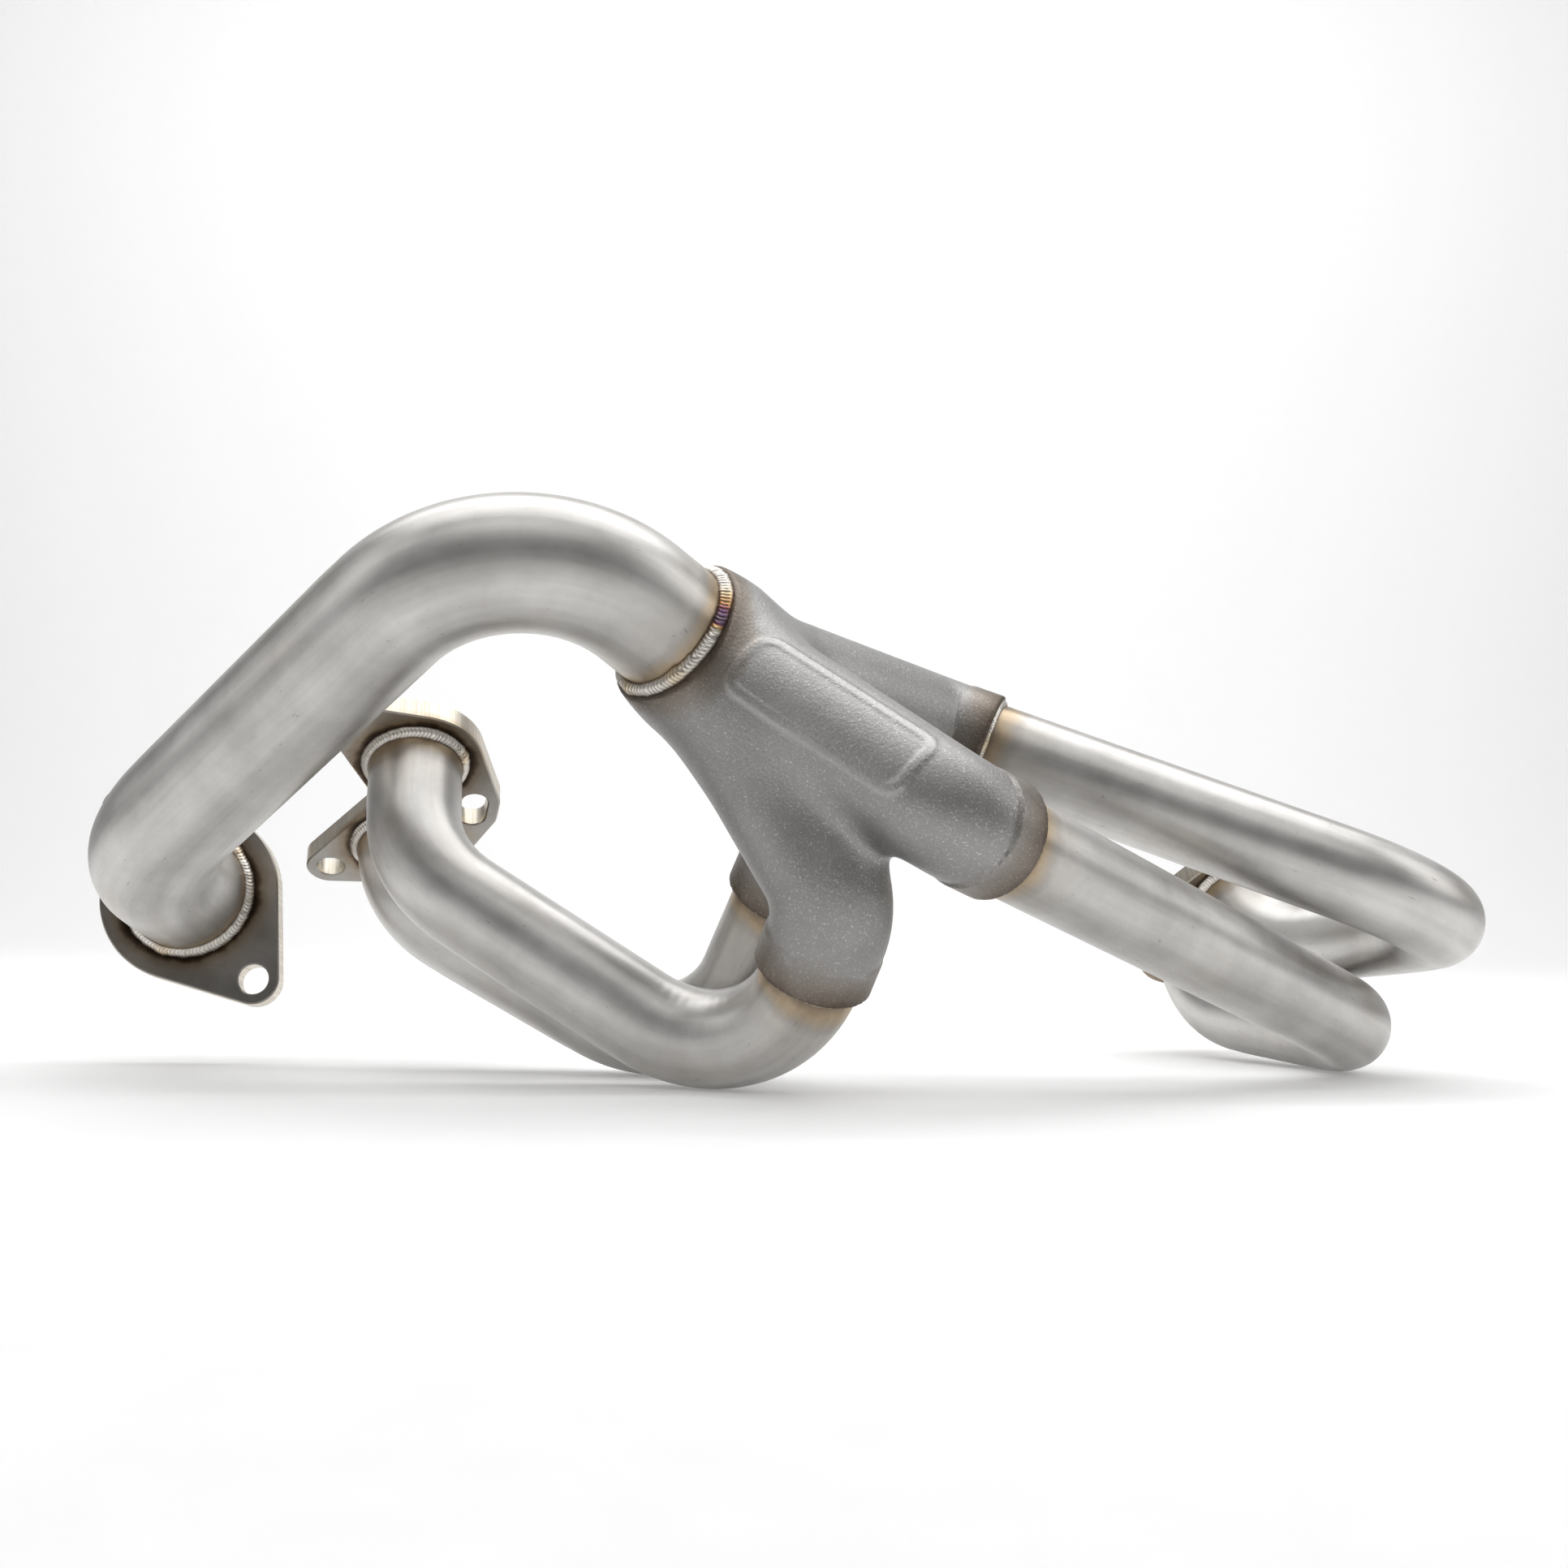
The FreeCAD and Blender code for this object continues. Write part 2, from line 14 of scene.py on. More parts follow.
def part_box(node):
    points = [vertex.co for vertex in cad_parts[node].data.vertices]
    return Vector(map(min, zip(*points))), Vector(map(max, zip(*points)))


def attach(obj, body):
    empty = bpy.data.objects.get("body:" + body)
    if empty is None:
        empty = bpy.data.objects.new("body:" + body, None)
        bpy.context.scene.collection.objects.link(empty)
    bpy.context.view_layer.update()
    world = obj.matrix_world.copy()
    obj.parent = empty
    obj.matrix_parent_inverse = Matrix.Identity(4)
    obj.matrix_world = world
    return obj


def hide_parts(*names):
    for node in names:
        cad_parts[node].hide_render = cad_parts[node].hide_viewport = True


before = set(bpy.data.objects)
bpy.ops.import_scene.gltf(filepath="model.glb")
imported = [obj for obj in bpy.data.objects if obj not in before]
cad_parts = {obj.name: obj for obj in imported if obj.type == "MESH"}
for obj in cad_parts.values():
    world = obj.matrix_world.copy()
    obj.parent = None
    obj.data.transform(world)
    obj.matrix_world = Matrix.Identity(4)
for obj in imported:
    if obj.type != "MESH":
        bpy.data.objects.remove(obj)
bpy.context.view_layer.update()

MM = 0.001
rng = np.random.default_rng(7)

# --------------------------------------------------------------------------- sizes
PRIMARY_RAD, PRIMARY_BORE, PRIMARY_BEND = 19.05, 17.4, 50.8
OUTLET_RAD, OUTLET_BORE, OUTLET_BEND = 25.4, 23.75, 63.5
TUBE_SEAT, PORT_Y = 8.0, 26.8
SOCKET_DEEP, WAY_DEEP, COLLAR_RAD, COLLAR_LEN = 12.0, 19.0, 22.6, 13.5
BRANCH_RAD, BRANCH_ROOT, BRANCH_TURN = 21.8, 25.2, 24.0
HUB_RAD, NECK_RAD, NECK_LEN = 27.6, 29.0, 15.0

HEAD = dict(yaw=15.7, pitch=3.3, roll=-37.0)
EXIT = dict(yaw=1.7, pitch=-0.4, roll=-101.7)
LEFT, RIGHT = (-157.7, -15.6, 111.8), (219.8, 119.8, 67.0)
EXIT_PLACE, EXIT_STUB = (-258.9, 10.1, 73.2), 72.0
OUTLET_TOP, OUTLET_MOUTH = (-94.8, -162.6, 211.8), (-39.5, -109.4, 172.5)
PRIMARIES = {
    "front_left": dict(seat="left", port=-1, stub=55.8, corners=[(-3.5, -87.5, -2.5)],
                       mouth=(13.9, -116.5, 46.0), reach=18.0),
    "rear_left": dict(seat="left", port=1, stub=30.0, corners=[(-29.3, -28.4, 1.0)],
                      mouth=(2.4, -72.2, 73.9), reach=22.0),
    "front_right": dict(seat="right", port=-1, stub=33.0,
                        corners=[(255.9, 43.2, 18.2), (250.0, 3.8, 23.4)],
                        mouth=(78.4, -145.4, 94.0), reach=8.0),
    "rear_right": dict(seat="right", port=1, stub=34.5,
                       corners=[(286.9, 14.6, 65.1), (271.7, -59.7, 71.2)],
                       mouth=(87.9, -25.7, 138.8), reach=10.0),
}


# --------------------------------------------------------------------------- vectors
def vec(*numbers):
    return np.array(numbers, float)


def unit(v):
    return v / np.linalg.norm(v)


def turned(yaw, pitch, roll, spin=0.0):
    """Rotation matrix: roll about X, then pitch about Y, then yaw about Z, after a spin about Z."""
    y, p, r, s = (math.radians(angle) for angle in (yaw, pitch, roll, spin))
    about_z = np.array([[math.cos(y), -math.sin(y), 0], [math.sin(y), math.cos(y), 0], [0, 0, 1]])
    about_y = np.array([[math.cos(p), 0, math.sin(p)], [0, 1, 0], [-math.sin(p), 0, math.cos(p)]])
    about_x = np.array([[1, 0, 0], [0, math.cos(r), -math.sin(r)], [0, math.sin(r), math.cos(r)]])
    spun = np.array([[math.cos(s), -math.sin(s), 0], [math.sin(s), math.cos(s), 0], [0, 0, 1]])
    return about_z @ about_y @ about_x @ spun


def swing(v, axis, angle):
    """v turned about a unit axis."""
    return (v * math.cos(angle) + np.cross(axis, v) * math.sin(angle)
            + axis * np.dot(axis, v) * (1 - math.cos(angle)))


def upright(axis):
    """Two unit vectors square to an axis and to each other."""
    side = unit(np.cross(axis, vec(0, 0, 1) if abs(axis[2]) < 0.9 else vec(1, 0, 0)))
    return side, np.cross(axis, side)


seats = {"left": (vec(*LEFT), turned(**HEAD)), "right": (vec(*RIGHT), turned(**HEAD, spin=180.0))}
head_up = seats["left"][1][:, 2]
exit_out = turned(**EXIT)[:, 2]
exit_place = vec(*EXIT_PLACE)


def tube_corners(spec):
    """Corners of a primary: seat in the flange, stub, bend corners, seat in the collector."""
    origin, turn = seats[spec["seat"]]
    port = origin + turn @ vec(0, spec["port"] * PORT_Y, 0)
    corners = [port + head_up * TUBE_SEAT, port - head_up * spec["stub"]]
    corners += [vec(*corner) for corner in spec["corners"]]
    mouth = vec(*spec["mouth"])
    return port, mouth, corners + [mouth - unit(corners[-1] - mouth) * SOCKET_DEEP]


runs = {side: tube_corners(spec) for side, spec in PRIMARIES.items()}
outlet_mouth, outlet_top = vec(*OUTLET_MOUTH), vec(*OUTLET_TOP)
neck_in = unit(outlet_mouth - outlet_top)
outlet_corners = [exit_place + exit_out * TUBE_SEAT, exit_place - exit_out * EXIT_STUB,
                  outlet_top, outlet_mouth + neck_in * SOCKET_DEEP]


# --------------------------------------------------------------------------- centre lines
def bends(corners, radius):
    """Lines and arcs of a rounded run of corners, in order.

    A line is (start, heading, length); an arc is (start, heading, turn, axis, centre).
    """
    parts, here = [], corners[0]
    for before, corner, after in zip(corners, corners[1:], corners[2:]):
        come, leave = unit(corner - before), unit(after - corner)
        turn = math.acos(float(np.clip(come @ leave, -1, 1)))
        first = corner - come * radius * math.tan(turn / 2)
        axis = unit(np.cross(come, leave))
        parts.append((here, come, np.linalg.norm(first - here)))
        parts.append((first, come, turn, axis, first + np.cross(axis, come) * radius))
        here = corner + leave * radius * math.tan(turn / 2)
    parts.append((here, unit(corners[-1] - here), np.linalg.norm(corners[-1] - here)))
    return parts


LINE_STEP, ARC_STEP, BEND_FADE = 3.0, 1.5, 7.0


def stations(corners, radius):
    """Rows along the centre line: place, heading, side, distance, inward direction, bend strength."""
    rows, arcs, travelled = [], [], 0.0
    side = upright(unit(corners[1] - corners[0]))[0]
    for part in bends(corners, radius):
        if len(part) == 3:
            start, heading, length = part
            count = max(2, round(length / LINE_STEP))
            for k in range(count):
                rows.append((start + heading * length * k / count, heading, side,
                             travelled + length * k / count))
            travelled += length
            continue
        start, heading, turn, axis, centre = part
        count = math.ceil(radius * turn / ARC_STEP)
        for k in range(count):
            angle = turn * k / count
            rows.append((centre + swing(start - centre, axis, angle), swing(heading, axis, angle),
                         swing(side, axis, angle), travelled + radius * angle))
        arcs.append((travelled, travelled + radius * turn, axis))
        side = swing(side, axis, turn)
        travelled += radius * turn
    rows.append((corners[-1], rows[-1][1], side, travelled))
    place, heading, side, along = (np.array([row[k] for row in rows]) for k in range(4))
    inward, strength = np.zeros_like(place), np.zeros(len(rows))
    for first, last, axis in arcs:
        away = np.maximum(0, np.maximum(first - along, along - last))
        near = np.clip(1 - away / BEND_FADE, 0, 1)
        stronger = near > strength
        inward[stronger] = np.cross(axis, heading[stronger])
        strength = np.maximum(strength, near)
    return place, heading, side, along, inward, strength


# --------------------------------------------------------------------------- meshes
def ring_quads(rows, columns, offset=0):
    """Quads between closed rings of vertices, row after row."""
    j, i = np.meshgrid(np.arange(rows - 1), np.arange(columns), indexing="ij")
    nxt = (i + 1) % columns
    here, above = j * columns, (j + 1) * columns
    return np.stack([here + i, here + nxt, above + nxt, above + i], -1).reshape(-1, 4) + offset


def make_piece(name, points, faces, attributes, material, node, sharp=35.0):
    """Mesh object from millimetres, with smooth faces, that stands for a CAD node."""
    mesh = bpy.data.meshes.new(name)
    mesh.from_pydata((points * MM).tolist(), [], faces.tolist())
    for label, values in attributes.items():
        kind, field = ("FLOAT_VECTOR", "vector") if values.ndim == 2 else ("FLOAT", "value")
        layer = mesh.attributes.new(label, kind, "POINT")
        layer.data.foreach_set(field, values.astype(np.float32).ravel())
    mesh.shade_smooth()
    mesh.set_sharp_from_angle(angle=math.radians(sharp))
    mesh.materials.append(material)
    piece = bpy.data.objects.new(name, mesh)
    bpy.context.scene.collection.objects.link(piece)
    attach(piece, "root")
    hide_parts(node)


ROUND = 120          # vertices round a tube
FLAT_OUTSIDE = 0.30  # how far the outside of a bend is drawn flat
WRINKLE, WRINKLE_PITCH = 0.035, 6.5


def make_tube(name, corners, bend, outside, inside, seams, material):
    """Bent tube with a real wall; seams are the distances from its ends to its welds."""
    place, heading, side, along, inward, strength = stations(corners, bend)
    up = np.cross(heading, side)
    angle = np.arange(ROUND) * 2 * math.pi / ROUND
    spoke = (side[:, None, :] * np.cos(angle)[None, :, None]
             + up[:, None, :] * np.sin(angle)[None, :, None])
    inner_side = np.einsum("rk,rck->rc", inward, spoke)
    fade = strength[:, None]
    drawn = -FLAT_OUTSIDE * fade * np.clip(-inner_side, 0, 1) ** 2
    wrinkle = np.sin(2 * math.pi * along / WRINKLE_PITCH)[:, None]
    drawn = drawn + WRINKLE * fade * wrinkle * np.clip(inner_side, 0, 1) ** 2
    skin = place[:, None, :] + spoke * (outside + drawn)[..., None]
    bore = place[:, None, :] + spoke * inside
    rows = len(place)
    points = np.vstack([skin.reshape(-1, 3), bore.reshape(-1, 3)])
    outer = ring_quads(rows, ROUND)
    inner = ring_quads(rows, ROUND, rows * ROUND)[:, ::-1]
    rims = []
    for row, flip in ((0, True), (rows - 1, False)):
        i = np.arange(ROUND)
        nxt = (i + 1) % ROUND
        base = row * ROUND
        rim = np.stack([base + i, base + nxt, base + nxt + rows * ROUND, base + i + rows * ROUND], -1)
        rims.append(rim[:, ::-1] if flip else rim)
    faces = np.vstack([outer, inner] + rims)
    flat = np.stack([np.cos(angle)[None, :] * np.ones((rows, 1)),
                     np.sin(angle)[None, :] * np.ones((rows, 1))], -1)
    length = np.repeat(along[:, None], ROUND, 1)
    straight = np.concatenate([flat * outside, length[..., None]], -1)
    lining = np.concatenate([flat * inside, length[..., None]], -1)
    gap = np.minimum(np.abs(length - seams[0]), np.abs(length - (along[-1] - seams[1])))
    course = np.repeat(heading[:, None, :], ROUND, 1).reshape(-1, 3)
    crook = (fade * inner_side).reshape(-1)
    attributes = {
        "unbent": np.vstack([straight.reshape(-1, 3), lining.reshape(-1, 3)]) * MM,
        "weld_gap": np.tile(gap.reshape(-1), 2),
        "crook": np.tile(crook, 2),
        "course": np.vstack([course, course]),
        "lining": np.concatenate([np.zeros(len(crook)), np.ones(len(crook))]),
    }
    make_piece(name + "_skin", points, faces, attributes, material, name)


# --------------------------------------------------------------------------- node helpers
class Nodes:
    """Short calls for building a material's node tree."""

    def __init__(self, name):
        self.material = bpy.data.materials.new(name)
        self.material.use_nodes = True
        self.tree = self.material.node_tree
        self.shader = self.tree.nodes["Principled BSDF"]

    def add(self, kind, **settings):
        node = self.tree.nodes.new(kind)
        for key, value in settings.items():
            setattr(node, key, value)
        return node

    def link(self, source, target):
        self.tree.links.new(source, target)

    def feed(self, socket, value):
        if isinstance(value, bpy.types.NodeSocket):
            self.link(value, socket)
        elif value is not None:
            socket.default_value = value

    def attribute(self, name, output="Fac"):
        return self.add("ShaderNodeAttribute", attribute_name=name).outputs[output]

    def math(self, operation, a, b=None, c=None, clamp=False):
        node = self.add("ShaderNodeMath", operation=operation, use_clamp=clamp)
        for socket, value in zip(node.inputs, (a, b, c)):
            self.feed(socket, value)
        return node.outputs[0]

    def dot(self, vector, axis):
        node = self.add("ShaderNodeVectorMath", operation="DOT_PRODUCT")
        self.feed(node.inputs[0], vector)
        node.inputs[1].default_value = tuple(axis)
        return node.outputs["Value"]

    def distance(self, vector, place):
        node = self.add("ShaderNodeVectorMath", operation="DISTANCE")
        self.feed(node.inputs[0], vector)
        node.inputs[1].default_value = tuple(place)
        return node.outputs["Value"]

    def scaled(self, vector, x, y, z):
        node = self.add("ShaderNodeVectorMath", operation="MULTIPLY")
        self.feed(node.inputs[0], vector)
        node.inputs[1].default_value = (x, y, z)
        return node.outputs[0]

    def noise(self, vector, scale, detail=2.0, rough=0.5):
        node = self.add("ShaderNodeTexNoise")
        self.feed(node.inputs["Vector"], vector)
        node.inputs["Scale"].default_value = scale
        node.inputs["Detail"].default_value = detail
        node.inputs["Roughness"].default_value = rough
        return node.outputs["Fac"]

    def spread(self, value, low, high, to_low=0.0, to_high=1.0):
        """Map a range onto another, clamped."""
        node = self.add("ShaderNodeMapRange", clamp=True, interpolation_type="SMOOTHSTEP")
        for socket, number in zip(node.inputs, (value, low, high, to_low, to_high)):
            self.feed(socket, number)
        return node.outputs[0]

    def ramp(self, value, stops):
        node = self.add("ShaderNodeValToRGB")
        self.feed(node.inputs[0], value)
        ramp = node.color_ramp
        for k, (position, colour) in enumerate(stops):
            stop = ramp.elements[k] if k < 2 else ramp.elements.new(position)
            stop.position = position
            stop.color = (*colour, 1.0)
        return node.outputs["Color"]

    def mix(self, factor, a, b, blend="MIX"):
        node = self.add("ShaderNodeMix", data_type="RGBA", blend_type=blend)
        colours = [socket for socket in node.inputs if socket.type == "RGBA"]
        self.feed(node.inputs[0], factor)
        for socket, colour in zip(colours, (a, b)):
            if isinstance(colour, tuple):
                colour = (*colour, 1.0)
            self.feed(socket, colour)
        return [socket for socket in node.outputs if socket.type == "RGBA"][0]

    def bump(self, height, distance, strength):
        node = self.add("ShaderNodeBump")
        node.inputs["Strength"].default_value = strength
        node.inputs["Distance"].default_value = distance
        self.feed(node.inputs["Height"], height)
        return node.outputs["Normal"]

    def finish(self, colour, roughness, normal, metallic=1.0):
        self.feed(self.shader.inputs["Base Color"], colour)
        self.feed(self.shader.inputs["Roughness"], roughness)
        self.feed(self.shader.inputs["Normal"], normal)
        self.shader.inputs["Metallic"].default_value = metallic
        return self.material


# --------------------------------------------------------------------------- materials
TUBE_TINT_REACH, CAST_TINT_REACH = 30.0, 36.0  # how far from a weld the tint runs, in mm


def drawn_steel():
    """Satin drawn tube: lengthwise lines, soft mottling, tracks in the bends, weld tint."""
    n = Nodes("drawn_stainless_tube")
    unbent = n.attribute("unbent", "Vector")
    gap = n.attribute("weld_gap")
    crook = n.attribute("crook")
    lining = n.attribute("lining")
    fine_lines = n.noise(n.scaled(unbent, 1.0, 1.0, 0.012), 2600.0, 3.0, 0.6)
    broad_lines = n.noise(n.scaled(unbent, 1.0, 1.0, 0.02), 420.0, 2.0, 0.55)
    streaks = n.noise(n.scaled(unbent, 1.0, 1.0, 0.06), 95.0, 3.0, 0.6)
    mottle = n.noise(unbent, 38.0, 4.0, 0.6)
    grain = n.noise(unbent, 3300.0, 2.0, 0.7)
    pits = n.spread(n.noise(n.scaled(unbent, 1.0, 1.0, 0.35), 780.0, 2.0, 0.5), 0.70, 0.76)
    tracks = n.noise(n.scaled(unbent, 0.10, 0.10, 1.0), 520.0, 2.0, 0.5)
    in_bend = n.spread(n.math("ABSOLUTE", crook), 0.05, 0.8)

    tone = n.ramp(n.math("MULTIPLY_ADD", streaks, 0.5, n.math("MULTIPLY", mottle, 0.5)),
                  [(0.36, (0.44, 0.427, 0.41)), (0.64, (0.66, 0.648, 0.63))])
    stain = n.spread(n.noise(n.scaled(unbent, 1.0, 1.0, 0.4), 30.0, 4.0, 0.6), 0.52, 0.70)
    tone = n.mix(n.math("MULTIPLY", stain, 0.30), tone, (0.54, 0.48, 0.41))
    tone = n.mix(n.math("MULTIPLY", pits, 0.35), tone, (0.28, 0.27, 0.26))
    wander = n.math("MULTIPLY_ADD", n.math("SUBTRACT", n.noise(unbent, 90.0, 3.0), 0.5), 9.0, gap)
    tint = n.ramp(n.math("MULTIPLY", wander, 1.0 / TUBE_TINT_REACH),
                  [(0.0, (0.30, 0.22, 0.15)), (0.06, (0.42, 0.30, 0.19)), (0.17, (0.80, 0.62, 0.40)),
                   (0.26, (0.83, 0.70, 0.54)), (0.36, (0.80, 0.76, 0.72)), (0.48, (1.0, 0.98, 0.95)),
                   (1.0, (1.0, 1.0, 1.0))])
    tone = n.mix(0.85, tone, tint, "MULTIPLY")
    tone = n.mix(lining, tone, (0.36, 0.34, 0.32))

    rough = n.math("MULTIPLY_ADD", fine_lines, 0.12, 0.36)
    rough = n.math("MULTIPLY_ADD", n.math("SUBTRACT", mottle, 0.5), 0.16, rough)
    rough = n.math("MULTIPLY_ADD", pits, 0.18, rough, clamp=True)
    height = n.math("MULTIPLY_ADD", broad_lines, 0.5, n.math("MULTIPLY", fine_lines, 0.25))
    height = n.math("MULTIPLY_ADD", n.math("MULTIPLY", tracks, in_bend), 0.55, height)
    height = n.math("MULTIPLY_ADD", grain, 0.16, height)
    normal = n.bump(height, 0.00009, 0.55)
    n.shader.inputs["Anisotropic"].default_value = 0.35
    n.link(n.attribute("course", "Vector"), n.shader.inputs["Tangent"])
    return n.finish(tone, rough, normal)


def cast_steel():
    """Blasted casting: dark even grey, fine bright grain, browner beside the welds, the darkest brown
    at the seams partly painted shade.
    """
    n = Nodes("blasted_cast_collector")
    where = n.add("ShaderNodeTexCoord").outputs["Object"]
    gap = n.attribute("weld_gap")
    raised = n.attribute("raised")
    grit = n.noise(where, 1250.0, 3.0, 0.65)
    pebble = n.noise(where, 820.0, 2.0, 0.6)
    cloud = n.noise(where, 26.0, 4.0, 0.6)
    tone = n.ramp(cloud, [(0.30, (0.29, 0.285, 0.28)), (0.72, (0.37, 0.365, 0.358))])
    sparkle = n.spread(grit, 0.56, 0.70)
    tone = n.mix(n.math("MULTIPLY", sparkle, 0.70), tone, (0.66, 0.65, 0.64))
    tone = n.mix(n.math("MULTIPLY", raised, 0.30), tone, (0.46, 0.455, 0.45))
    wander = n.math("MULTIPLY_ADD", n.math("SUBTRACT", n.noise(where, 70.0, 3.0), 0.5), 12.0, gap)
    # brown heat tint beside the welds; the darkest stops at the seams also serve as painted shade
    tint = n.ramp(n.math("MULTIPLY", wander, 1.0 / CAST_TINT_REACH),
                  [(0.0, (0.30, 0.22, 0.16)), (0.10, (0.52, 0.43, 0.35)), (0.22, (0.68, 0.60, 0.52)),
                   (0.34, (0.82, 0.76, 0.70)), (0.46, (1.0, 1.0, 1.0)), (1.0, (1.0, 1.0, 1.0))])
    tone = n.mix(0.9, tone, tint, "MULTIPLY")
    rough = n.math("MULTIPLY_ADD", pebble, 0.22, 0.36)
    rough = n.math("MULTIPLY_ADD", raised, -0.08, rough, clamp=True)
    height = n.math("MULTIPLY_ADD", grit, 0.6, pebble)
    return n.finish(tone, rough, n.bump(height, 0.00022, 0.85))


def weld_metal():
    """Bright rippled bead with brown toes, gold and violet where it was hottest."""
    n = Nodes("tig_weld_bead")
    where = n.add("ShaderNodeTexCoord").outputs["Object"]
    toe = n.attribute("toe")
    heat = n.attribute("scorch")
    valley = n.attribute("valley")
    cloud = n.noise(where, 240.0, 3.0, 0.6)
    tone = n.ramp(cloud, [(0.30, (0.62, 0.585, 0.53)), (0.70, (0.80, 0.785, 0.75))])
    oxide = n.ramp(n.math("MULTIPLY_ADD", n.math("SUBTRACT", cloud, 0.5), 0.35, heat),
                   [(0.05, (1.0, 1.0, 1.0)), (0.30, (0.95, 0.76, 0.50)), (0.52, (0.80, 0.45, 0.18)),
                    (0.70, (0.45, 0.16, 0.20)), (0.86, (0.20, 0.10, 0.26)), (1.0, (0.14, 0.12, 0.20))])
    tone = n.mix(1.0, tone, oxide, "MULTIPLY")
    tone = n.mix(n.math("MULTIPLY", valley, 0.75), tone, (0.30, 0.25, 0.20))
    tone = n.mix(n.spread(toe, 0.62, 1.0, 0.0, 0.9), tone, (0.12, 0.085, 0.06))
    rough = n.math("MULTIPLY_ADD", cloud, 0.20, 0.18)
    rough = n.math("MULTIPLY_ADD", toe, 0.18, rough, clamp=True)
    height = n.noise(where, 2600.0, 2.0, 0.6)
    return n.finish(tone, rough, n.bump(height, 0.00005, 0.5))


SCORCH_REACH = 0.012                     # how far round a weld the plate is coloured, in metres
SCORCH_DEEP, SCORCH_GONE = 0.001, 0.004  # how far into the plate the colour holds, and where it ends


def cut_plate(name, facing, welds, painted_shade_scale=1.0):
    """Flange plate: ground faces, cut edges with fine strokes, brown rings round the welds.

    Each weld is the place of its tube on the plate, in millimetres, and the bead's outer radius. The
    last argument scales the plain face colour down as a painted shade, giving a shaded copy of the
    same plate.
    """
    n = Nodes(name)
    where = n.add("ShaderNodeTexCoord").outputs["Object"]
    normal = n.add("ShaderNodeNewGeometry").outputs["True Normal"]
    face = n.spread(n.math("ABSOLUTE", n.dot(normal, facing)), 0.35, 0.80)
    side, across = upright(facing)
    depth = n.dot(where, facing)
    local = n.add("ShaderNodeCombineXYZ")
    for socket, value in zip(local.inputs, (n.dot(where, side), n.dot(where, across), depth)):
        n.link(value, socket)
    local = local.outputs[0]
    strokes = n.noise(n.scaled(local, 1.0, 1.0, 0.03), 1500.0, 2.0, 0.6)
    grind = n.noise(n.scaled(local, 0.05, 1.0, 1.0), 1300.0, 3.0, 0.6)
    cloud = n.noise(where, 45.0, 4.0, 0.6)
    # plain face colour, times the last argument: a painted shade that makes a darker copy of the plate
    plain = n.ramp(cloud, [(0.30, (0.30 * painted_shade_scale, 0.285 * painted_shade_scale, 0.265 * painted_shade_scale)),
                           (0.70, (0.42 * painted_shade_scale, 0.40 * painted_shade_scale, 0.375 * painted_shade_scale))])
    cut = n.ramp(strokes, [(0.30, (0.52, 0.47, 0.40)), (0.70, (0.74, 0.69, 0.60))])
    tone = n.mix(face, cut, plain)
    wobble = n.math("MULTIPLY", n.math("SUBTRACT", n.noise(where, 110.0, 3.0), 0.5), 0.45)
    for place, bead_rad in welds:
        ring = n.math("SUBTRACT", n.distance(where, place * MM), bead_rad * MM)
        ring = n.math("MULTIPLY_ADD", ring, 1 / SCORCH_REACH, wobble)
        burn = n.ramp(ring, [(0.04, (0.10, 0.07, 0.05)), (0.13, (0.26, 0.19, 0.13)),
                             (0.25, (0.72, 0.60, 0.47)), (0.50, (0.92, 0.86, 0.78)),
                             (1.0, (1.0, 1.0, 1.0))])
        level = float(place @ facing) * MM
        near_side = n.spread(depth, level + SCORCH_DEEP, level + SCORCH_GONE, 1.0, 0.0)
        tone = n.mix(near_side, tone, n.mix(1.0, tone, burn, "MULTIPLY"))
    rough = n.math("MULTIPLY_ADD", cloud, 0.20, 0.26)
    relief = n.mix(face, strokes, grind)
    return n.finish(tone, rough, n.bump(relief, 0.00008, 0.5))


steel, cast, weld = drawn_steel(), cast_steel(), weld_metal()
PORT_LEG, EXIT_LEG = 3.4, 3.6  # leg lengths of the beads on the plates
port_welds = {"left": [], "right": []}
for side, spec in PRIMARIES.items():
    port_welds[spec["seat"]].append((runs[side][0], PRIMARY_RAD + PORT_LEG))
exit_welds = [(exit_place, OUTLET_RAD + EXIT_LEG)]
# the outlet flange's 0.75 darkens its plain faces as a painted shade
plates = {"left_head_flange": cut_plate("ground_head_flange_left", head_up, port_welds["left"]),
          "right_head_flange": cut_plate("ground_head_flange_right", head_up, port_welds["right"]),
          "outlet_flange": cut_plate("ground_outlet_flange", exit_out, exit_welds, 0.75)}
for node, material in plates.items():
    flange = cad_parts[node]
    flange.data.materials.clear()
    flange.data.materials.append(material)

# --------------------------------------------------------------------------- tubes
for side, (_, _, corners) in runs.items():
    make_tube(side + "_primary", corners, PRIMARY_BEND, PRIMARY_RAD, PRIMARY_BORE,
              (TUBE_SEAT, SOCKET_DEEP), steel)
make_tube("outlet_tube", outlet_corners, OUTLET_BEND, OUTLET_RAD, OUTLET_BORE,
          (TUBE_SEAT, SOCKET_DEEP), steel)

# --------------------------------------------------------------------------- weld beads
ACROSS = 13                              # points across a bead's face
RIPPLE_POINTS = 8                        # points along one ripple
BOW = 0.85                               # how far a ripple's middle runs ahead of its ends
SUNK = 0.35                              # how deep a bead's root lies under the metal
RESTART_LONG, RESTART_GLOW = 2.2, 5.0    # reach of a restart's lump and of its colour
RESTART_HEAT, HOT_HEAT = 0.20, 0.95      # colour strength at a restart and at a hot spot
FRONT_SHARP = 0.25                       # a hot spot's colour ends this much sooner on one side
NUDGE, WANDER = 0.10, 0.035              # unevenness of the ripples' pitch and of the bead's size
SWELL, SWELL_WAVES = 0.05, 3             # slow swelling of the bead round the tube
LUMP_HIGH, LUMP_WIDE = 0.35, 0.12        # how much a restart's lump adds
SCALE_EDGE, SCALE_MEAN = 0.75, 0.75      # sharpness and mean height of the ripples
DIAGONAL = math.sqrt(0.5)


